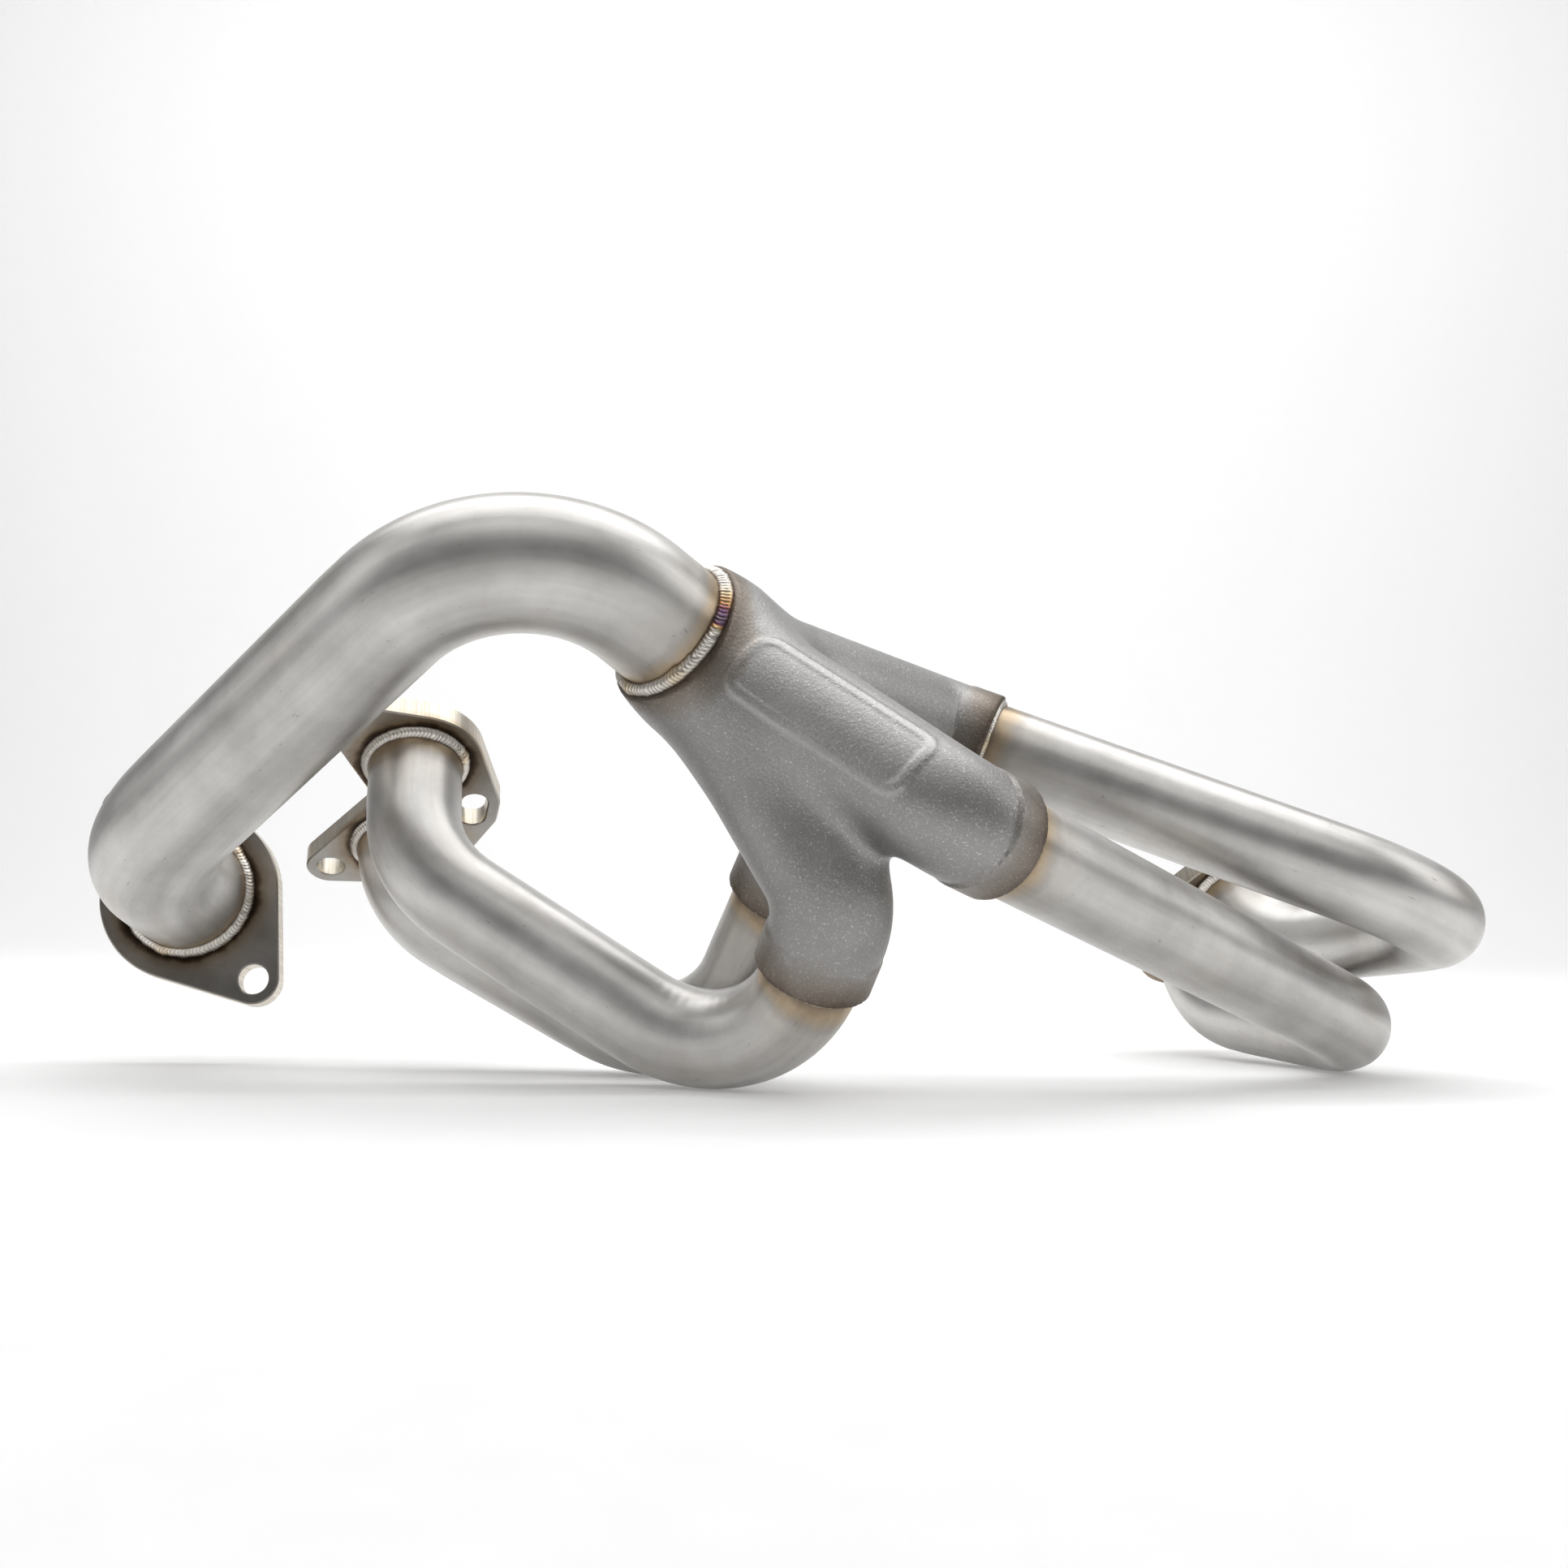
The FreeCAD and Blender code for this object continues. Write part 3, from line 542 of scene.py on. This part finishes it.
def make_bead(name, centre, axis, radius, leg, crown, pitch, relief, restarts, hot):
    """Rippled bead round a tube; axis points along the tube, away from the plate.

    Restarts are places round the bead, as shares of a turn; hot holds places and widths.
    """
    side, up = upright(axis)
    ripples = round(2 * math.pi * (radius + leg / 2) / pitch)
    count = ripples * RIPPLE_POINTS
    turn = np.arange(count) / count
    angle = 2 * math.pi * turn
    spoke = side[None, :] * np.cos(angle)[:, None] + up[None, :] * np.sin(angle)[:, None]
    jitter = rng.normal(0, 1, ripples + 1)
    jitter[-1] = jitter[0]
    step = turn * ripples
    nudge = np.interp(step, np.arange(ripples + 1), jitter)
    share = np.linspace(0, 1, ACROSS)
    bow = BOW * (2 * share - 1) ** 2
    phase = step[:, None] + NUDGE * nudge[:, None] - bow[None, :]
    scale = np.abs(np.sin(math.pi * phase)) ** SCALE_EDGE
    swell = 1 + SWELL * np.sin(SWELL_WAVES * angle + 1.0) + WANDER * nudge
    blob = np.zeros(count)
    heat = np.zeros(count)
    for start in restarts:
        gap = (turn - start + 0.5) % 1 - 0.5
        blob += np.exp(-(gap * 2 * math.pi * radius / RESTART_LONG) ** 2)
        heat += RESTART_HEAT * np.exp(-(gap * 2 * math.pi * radius / RESTART_GLOW) ** 2)
    for spot, width in hot:
        gap = (turn - spot + 0.5) % 1 - 0.5
        fade = np.where(gap < 0, FRONT_SHARP * width, width)
        heat += HOT_HEAT * np.exp(-(gap * 2 * math.pi * radius / fade) ** 2)
    arch = 4 * share * (1 - share)
    rise = (crown * arch[None, :] * (swell + LUMP_HIGH * blob)[:, None]
            + relief * (scale - SCALE_MEAN) * arch[None, :] ** 0.4)
    reach = leg * swell[:, None] * (1 + LUMP_WIDE * blob[:, None])
    out = radius + reach * (1 - share)[None, :] + rise * DIAGONAL
    lift = reach * share[None, :] + rise * DIAGONAL
    root_out, root_lift = np.full((count, 1), radius - SUNK), np.full((count, 1), -SUNK)
    out = np.hstack([out[:, :1], out, out[:, -1:] - SUNK, root_out])
    lift = np.hstack([lift[:, :1] - SUNK, lift, lift[:, -1:], root_lift])
    points = centre + spoke[:, None, :] * out[..., None] + axis * lift[..., None]
    columns = ACROSS + 3
    wide = np.hstack([np.ones(1), np.abs(2 * share - 1), np.ones(2)])
    dip = np.hstack([np.zeros((count, 1)), 1 - scale, np.zeros((count, 2))])
    j, i = np.meshgrid(np.arange(count), np.arange(columns), indexing="ij")
    here, ahead, nxt = j * columns, ((j + 1) % count) * columns, (i + 1) % columns
    quads = np.stack([here + i, ahead + i, ahead + nxt, here + nxt], -1)
    attributes = {
        "toe": np.repeat(wide[None, :], count, 0).ravel(),
        "scorch": np.repeat(heat[:, None], columns, 1).ravel(),
        "valley": dip.ravel(),
    }
    make_piece(name + "_bead", points.reshape(-1, 3), quads.reshape(-1, 4), attributes,
               weld, name, sharp=75.0)


for number, (side, (port, mouth, corners)) in enumerate(runs.items()):
    make_bead(side + "_port_weld", port, -head_up, PRIMARY_RAD, PORT_LEG, 0.75, 1.55, 0.20,
              ((0.13 + 0.21 * number) % 1, (0.55 + 0.17 * number) % 1), ())
    tube_way = unit(corners[-2] - mouth)
    make_bead(side + "_collector_weld", mouth, tube_way, PRIMARY_RAD, 1.9, 0.45, 1.3, 0.12,
              ((0.31 + 0.23 * number) % 1, (0.80 + 0.19 * number) % 1), ())
make_bead("outlet_collector_weld", outlet_mouth, -neck_in, OUTLET_RAD, 3.9, 1.3, 1.7, 0.42,
          (0.19, 0.347, 0.86), ((0.497, 11.0),))
make_bead("outlet_flange_weld", exit_place, -exit_out, OUTLET_RAD, EXIT_LEG, 0.8, 1.6, 0.22,
          (0.20, 0.62), ())

# --------------------------------------------------------------------------- collector casting
hub = outlet_mouth + neck_in * NECK_LEN


def blend(a, b, width):
    """Union of two distance fields, rounded where they meet."""
    near = np.maximum(width - np.abs(a - b), 0) / width
    return np.minimum(a, b) - near * near * width / 4


def carve(a, b, width):
    """a with b taken away, the rim broken by width."""
    return -blend(-a, b, width)


def line_gap(points, start, heading, length):
    """Distance from a straight run, and how far along it."""
    shift = points - start
    travel = np.clip(shift @ heading, 0, length)
    return np.linalg.norm(shift - travel[:, None] * heading, axis=1), travel


def arc_gap(points, start, heading, turn, axis, centre):
    """Distance from an arc, and how far along it."""
    radius = np.linalg.norm(start - centre)
    first = (start - centre) / radius
    shift = points - centre
    angle = np.arctan2(shift @ np.cross(axis, first), shift @ first)
    angle = np.clip(angle, 0, turn)
    foot = first * np.cos(angle)[:, None] + np.cross(axis, first) * np.sin(angle)[:, None]
    return np.linalg.norm(shift - radius * foot, axis=1), radius * angle


def rod_gap(points, start, heading, length, radius):
    """Distance field of a flat-ended cylinder."""
    shift = points - start
    travel = shift @ heading
    out = np.linalg.norm(shift - travel[:, None] * heading, axis=1) - radius
    end = np.abs(travel - length / 2) - length / 2
    return np.minimum(np.maximum(out, end), 0) + np.hypot(np.maximum(out, 0), np.maximum(end, 0))


def branch_gap(points, parts, total, root, tip):
    """Distance field of a tapered branch along its centre line."""
    travelled, best = 0.0, None
    for part in parts:
        if len(part) == 3:
            gap, travel = line_gap(points, *part)
            length = part[2]
        else:
            gap, travel = arc_gap(points, *part)
            length = np.linalg.norm(part[0] - part[4]) * part[2]
        field = gap - (root + (tip - root) * (travelled + travel) / total)
        best = field if best is None else np.minimum(best, field)
        travelled += length
    return best


branches = {}
for side, (port, mouth, corners) in runs.items():
    out = unit(corners[-2] - mouth)
    spine = [hub, mouth - out * (COLLAR_LEN + PRIMARIES[side]["reach"]), mouth]
    parts = bends(spine, BRANCH_TURN)
    total = sum(p[2] if len(p) == 3 else BRANCH_TURN * p[2] for p in parts)
    branches[side] = (mouth, out, parts, total)

PANEL_START, PANEL_LONG, PANEL_WIDE, PANEL_CORNER = 31.0, 84.0, 29.0, 8.0
PANEL_PROUD, TRAY_DEEP = 0.75, 0.45            # height of the rim, and of the tray below it
PANEL_RIM, TRAY_CORNER = 4.0, PANEL_CORNER - 3.0
PANEL_SLOPE, TRAY_SLOPE = 1.2, 1.0             # width of the ramps at their edges
panel_start, panel_axis = branches["front_right"][2][0][0], branches["front_right"][2][0][1]
panel_out = vec(0, -1, 0.25)
panel_out = unit(panel_out - panel_axis * (panel_out @ panel_axis))
panel_across = np.cross(panel_out, panel_axis)


def rounded_box(x, y, half_x, half_y, corner):
    """Distance field of a flat rectangle with round corners."""
    reach_x, reach_y = np.abs(x) - half_x + corner, np.abs(y) - half_y + corner
    outside = np.hypot(np.maximum(reach_x, 0), np.maximum(reach_y, 0))
    return outside + np.minimum(np.maximum(reach_x, reach_y), 0) - corner


def relief(points):
    """How far the plain raised panel stands out of the casting at each point."""
    shift = points - panel_start
    x = shift @ panel_axis - PANEL_START - PANEL_LONG / 2
    y = shift @ panel_across
    front = (shift @ panel_out) > 0
    edge = rounded_box(x, y, PANEL_LONG / 2, PANEL_WIDE / 2, PANEL_CORNER)
    field = np.clip(0.5 - edge / PANEL_SLOPE, 0, 1)
    inner = rounded_box(x, y, PANEL_LONG / 2 - PANEL_RIM, PANEL_WIDE / 2 - PANEL_RIM, TRAY_CORNER)
    tray = np.clip(0.5 - inner / TRAY_SLOPE, 0, 1)
    return (PANEL_PROUD * field - TRAY_DEEP * tray) * front


BALL_BLEND, ARM_BLEND, BODY_BLEND = 5.0, 15.0, 7.0  # how wide the parts flow into one another
COLLAR_BLEND, COLLAR_ROUND = 0.8, 0.5
RIM_BREAK, NECK_BREAK = 0.5, 0.8                    # broken edges of the holes and of the neck
CUT_PAST = 4                                        # how far a socket's cutter stands out
EXIT_WAY_DEEP = 26.0


def casting(points):
    """Distance field of the whole casting."""
    skin = rod_gap(points, outlet_mouth, neck_in, NECK_LEN, NECK_RAD)
    ball = np.linalg.norm(points - hub, axis=1) - HUB_RAD
    body = blend(skin, np.maximum(ball, (outlet_mouth - points) @ neck_in), BALL_BLEND)
    arms = None
    for mouth, out, parts, total in branches.values():
        arm = branch_gap(points, parts, total, BRANCH_ROOT, BRANCH_RAD)
        arm = np.maximum(arm, (points - mouth) @ out)
        arms = arm if arms is None else blend(arms, arm, ARM_BLEND)
    body = blend(body, arms, BODY_BLEND)
    body = body - relief(points)
    for mouth, out, _, _ in branches.values():
        collar = rod_gap(points, mouth - out * COLLAR_LEN, out,
                         COLLAR_LEN - COLLAR_ROUND, COLLAR_RAD - COLLAR_ROUND)
        body = blend(body, collar - COLLAR_ROUND, COLLAR_BLEND)
    for mouth, out, _, _ in branches.values():
        socket = rod_gap(points, mouth - out * SOCKET_DEEP, out, SOCKET_DEEP + CUT_PAST, PRIMARY_RAD)
        way = rod_gap(points, mouth - out * WAY_DEEP, out, WAY_DEEP, PRIMARY_BORE)
        body = carve(carve(body, socket, RIM_BREAK), way, RIM_BREAK)
    body = carve(body, (points - outlet_mouth) @ neck_in, NECK_BREAK)
    socket = rod_gap(points, outlet_mouth - neck_in * CUT_PAST, neck_in,
                     SOCKET_DEEP + CUT_PAST, OUTLET_RAD)
    way = rod_gap(points, outlet_mouth, neck_in, EXIT_WAY_DEEP, OUTLET_BORE)
    return carve(carve(body, socket, RIM_BREAK), way, RIM_BREAK)


FAR = 50.0                          # any distance in a block that the surface doesn't reach
HALF_DIAGONAL, MARGIN = 0.87, 6.0   # of a block's side, and what the blends may add
SHALLOWEST, LONGEST_MOVE = 0.25, 0.4


def sampled(field, low, high, step, block=16):
    """The field on a grid, worked out in full only in blocks near its surface."""
    count = np.ceil((high - low) / step / block).astype(int) * block + 1
    axes = [low[k] + step * np.arange(count[k]) for k in range(3)]
    values = np.full(count, FAR)
    reach = block * step * HALF_DIAGONAL + MARGIN
    for i in range(0, count[0] - 1, block):
        for j in range(0, count[1] - 1, block):
            for k in range(0, count[2] - 1, block):
                middle = low + step * (vec(i, j, k) + block / 2)
                centre = field(middle[None, :])[0]
                here = (slice(i, i + block + 1), slice(j, j + block + 1), slice(k, k + block + 1))
                if abs(centre) > reach:
                    values[here] = math.copysign(FAR, centre)
                    continue
                lines = [axis[part] for axis, part in zip(axes, here)]
                grid = np.stack(np.meshgrid(*lines, indexing="ij"), -1)
                values[here] = field(grid.reshape(-1, 3)).reshape(grid.shape[:3])
    return values


def surface(values, low, step):
    """Quad mesh of the zero surface: one vertex in each cell that the surface crosses."""
    inside = values < 0
    corner = [(i, j, k) for i in (0, 1) for j in (0, 1) for k in (0, 1)]
    size = np.array(values.shape) - 1
    cut = lambda grid, c: grid[c[0]:c[0] + size[0], c[1]:c[1] + size[1], c[2]:c[2] + size[2]]
    filled = sum(cut(inside, c).astype(np.int8) for c in corner)
    cells = np.argwhere((filled > 0) & (filled < 8))
    number = np.full(size, -1)
    number[tuple(cells.T)] = np.arange(len(cells))
    total, hits = np.zeros((len(cells), 3)), np.zeros(len(cells))
    for a in corner:
        for axis in range(3):
            if a[axis]:
                continue
            b = tuple(1 if k == axis else a[k] for k in range(3))
            first = values[tuple((cells + a).T)]
            second = values[tuple((cells + b).T)]
            crossed = (first < 0) != (second < 0)
            share = np.where(crossed, first / np.where(crossed, first - second, 1), 0)
            spot = np.array(a, float)[None, :] + share[:, None] * np.eye(3)[axis]
            total += spot * crossed[:, None]
            hits += crossed
    points = low + step * (cells + total / hits[:, None])
    quads = []
    for axis in range(3):
        nxt, far = (axis + 1) % 3, (axis + 2) % 3
        first = [slice(1, -1)] * 3
        first[axis] = slice(0, -1)
        second = list(first)
        second[axis] = slice(1, None)
        start, end = inside[tuple(first)], inside[tuple(second)]
        edges = np.argwhere(start != end)
        offset = np.array([1, 1, 1])
        offset[axis] = 0
        base = edges + offset
        step_n, step_f = np.eye(3, dtype=int)[nxt], np.eye(3, dtype=int)[far]
        ring = [number[tuple((base - s).T)] for s in (0 * step_n, step_n, step_n + step_f, step_f)]
        ring = np.stack(ring, -1)
        flip = end[tuple(edges.T)]
        ring[flip] = ring[flip][:, ::-1]
        quads.append(ring)
    return points, np.vstack(quads)


def settled(field, points, rounds=3, reach=0.05):
    """Points moved onto the zero surface along the field's slope."""
    for _ in range(rounds):
        slope = [field(points + reach * axis) - field(points - reach * axis) for axis in np.eye(3)]
        slope = np.stack(slope, -1) / (2 * reach)
        square = np.maximum((slope ** 2).sum(1), SHALLOWEST)
        shift = slope * (field(points) / square)[:, None]
        points = points - np.clip(shift, -LONGEST_MOVE, LONGEST_MOVE)
    return points


GRID, GRID_MARGIN = 1.0, 6
TINT_ROUND = 45                # a weld tints the casting no further off than this
NECK_BEHIND, NECK_FAINT = 4.0, 1.5  # the outlet's tint is weaker, as if further off and steeper
low, high = (vec(*corner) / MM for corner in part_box("merge_collector"))
low, high = low - GRID_MARGIN, high + GRID_MARGIN
points, quads = surface(sampled(casting, low, high, GRID), low, GRID)
points = settled(casting, points)
gap = np.full(len(points), 99.0)
for mouth, out, _, _ in branches.values():
    near = np.linalg.norm(points - mouth, axis=1) < TINT_ROUND
    gap[near] = np.minimum(gap[near], np.abs((points[near] - mouth) @ out))
neck_gap = NECK_BEHIND + NECK_FAINT * np.abs((points - outlet_mouth) @ neck_in)
off_neck = np.linalg.norm(points - outlet_mouth, axis=1) - TINT_ROUND
gap = np.minimum(gap, neck_gap + np.maximum(0, off_neck))
make_piece("merge_collector_casting", points, quads,
           {"weld_gap": gap, "raised": np.clip(relief(points) / PANEL_PROUD, 0, 1)},
           cast, "merge_collector", sharp=50.0)

# --------------------------------------------------------------------------- studio
CAMERA_AT = Vector((3.1, -772.9, 64.2)) * MM
CAMERA_RIGHT = Vector((0.99991, 0.0, 0.01376))
CAMERA_UP = Vector((-0.01372, -0.07712, 0.99693))
CAMERA_BACK = Vector((0.00106, -0.99702, -0.07711))
SENSOR, LENS = 36.0, 40.8
FLOOR_GLOW, WORLD_GLOW = 0.17, 0.22
camera = bpy.data.cameras.new("camera")
camera.sensor_width, camera.lens = SENSOR, LENS
camera.clip_start, camera.clip_end = 0.01, 50.0
viewer = bpy.data.objects.new("camera", camera)
bpy.context.scene.collection.objects.link(viewer)
turn = Matrix((CAMERA_RIGHT, CAMERA_UP, CAMERA_BACK)).transposed().to_4x4()
viewer.matrix_world = Matrix.Translation(CAMERA_AT) @ turn
bpy.context.scene.camera = viewer


def paper():
    """Pale matt floor with a barely visible grain."""
    n = Nodes("pale_floor")
    where = n.add("ShaderNodeTexCoord").outputs["Object"]
    fibre = n.noise(where, 60.0, 3.0)
    tone = n.ramp(fibre, [(0.3, (0.84, 0.84, 0.84)), (0.7, (0.87, 0.87, 0.87))])
    n.shader.inputs["Emission Color"].default_value = (1.0, 1.0, 1.0, 1.0)
    n.shader.inputs["Emission Strength"].default_value = FLOOR_GLOW
    return n.finish(tone, 0.65, n.bump(n.noise(where, 900.0), 0.00003, 0.3), metallic=0.0)


def cove():
    """Floor that curves up into a backdrop, as one sheet."""
    depth, back, radius, height, half = -3.0, 2.2, 0.8, 2.6, 3.4
    profile = [(depth, 0.0), (back, 0.0)]
    profile += [(back + radius * math.sin(a), radius * (1 - math.cos(a)))
                for a in np.linspace(0, math.pi / 2, 17)[1:]]
    profile.append((back + radius, height))
    verts = [(x, y, z) for y, z in profile for x in (-half, half)]
    faces = [(2 * k, 2 * k + 1, 2 * k + 3, 2 * k + 2) for k in range(len(profile) - 1)]
    mesh = bpy.data.meshes.new("floor")
    mesh.from_pydata(verts, [], faces)
    mesh.shade_smooth()
    mesh.materials.append(paper())
    sheet = bpy.data.objects.new("floor", mesh)
    bpy.context.scene.collection.objects.link(sheet)


def softbox(name, place, target, width, height, watts):
    """Rectangular area light that faces a target; metres and watts."""
    light = bpy.data.lights.new(name, "AREA")
    light.shape, light.size, light.size_y = "RECTANGLE", width, height
    light.energy = watts
    lamp = bpy.data.objects.new(name, light)
    lamp.location = place
    lamp.rotation_euler = (Vector(target) - Vector(place)).to_track_quat("-Z", "Y").to_euler()
    bpy.context.scene.collection.objects.link(lamp)


cove()
softbox("top_box", (0.0, 0.1, 1.5), (0.0, 0.0, 0.05), 2.1, 1.1, 15.5)
softbox("left_box", (-1.6, -0.5, 0.9), (0.0, 0.0, 0.1), 0.9, 1.2, 4.0)
softbox("right_box", (1.6, -0.1, 0.9), (0.0, 0.0, 0.1), 0.8, 1.2, 6.0)
softbox("front_fill", (0.1, -1.5, 2.0), (0.0, 0.0, 0.1), 2.6, 0.9, 8.0)
softbox("backdrop_light", (0.0, 1.2, 2.4), (0.0, 2.8, 0.6), 4.0, 1.0, 45.0)
world = bpy.data.worlds.new("studio")
world.use_nodes = True
background = world.node_tree.nodes["Background"]
background.inputs["Color"].default_value = (1.0, 1.0, 1.0, 1.0)
background.inputs["Strength"].default_value = WORLD_GLOW
bpy.context.scene.world = world
bpy.context.scene.view_settings.view_transform = "Standard"
